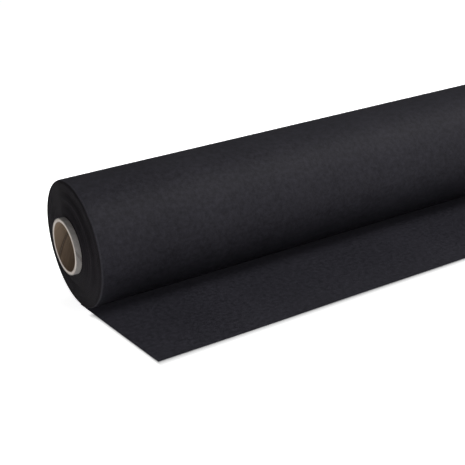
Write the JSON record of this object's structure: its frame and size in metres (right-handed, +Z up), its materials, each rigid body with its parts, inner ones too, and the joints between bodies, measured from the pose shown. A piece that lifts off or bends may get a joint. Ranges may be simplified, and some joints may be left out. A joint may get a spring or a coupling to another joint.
{
  "type": "backdrop paper roll",
  "caption": "Heavy roll of black seamless backdrop paper on a spiral-wound board core, lying down with its free end drawn out flat from underneath.",
  "frame": {"origin": "on the floor, under the roll's axis, half-way along the outermost turn of paper", "axes": "+X along the roll's axis, away from the end where the core and the inner turns stand proud; the free sheet points to -Y; +Z up"},
  "size_m": [1.362, 0.267, 0.1505],
  "materials": {
    "kraft_board": "matte",
    "grey_board": "matte",
    "wrap_board": "matte",
    "paper_tape": "matte",
    "black_paper": "matte"
  },
  "bodies": {
    "web_on_floor": {"lead_off_sheet": "black_paper"},
    "roll": {"core_liner": "kraft_board", "core_board_ply_1": "grey_board", "core_board_ply_2": "grey_board", "core_board_ply_3": "grey_board", "core_board_ply_4": "grey_board", "core_board_ply_5": "grey_board", "core_outer_ply": "wrap_board", "start_tape_left": "paper_tape", "start_tape_middle": "paper_tape", "start_tape_right": "paper_tape", "wound_paper": "black_paper"},
    "free_end": {"free_sheet": "black_paper"}
  },
  "joints": [
    {"name": "roll_turn", "type": "hinge", "parent": "web_on_floor", "child": "roll", "pos_m": [0, 0, 0.07555], "axis": [-1, 0, 0], "range_deg": [0, 100]},
    {"name": "sheet_feed", "type": "slide", "parent": "web_on_floor", "child": "free_end", "axis": [0, -1, 0], "range_m": [0, 0.131]}
  ],
  "couplings": [
    {"joint": "sheet_feed", "follows": "roll_turn", "m_per_rad": 0.075}
  ]
}
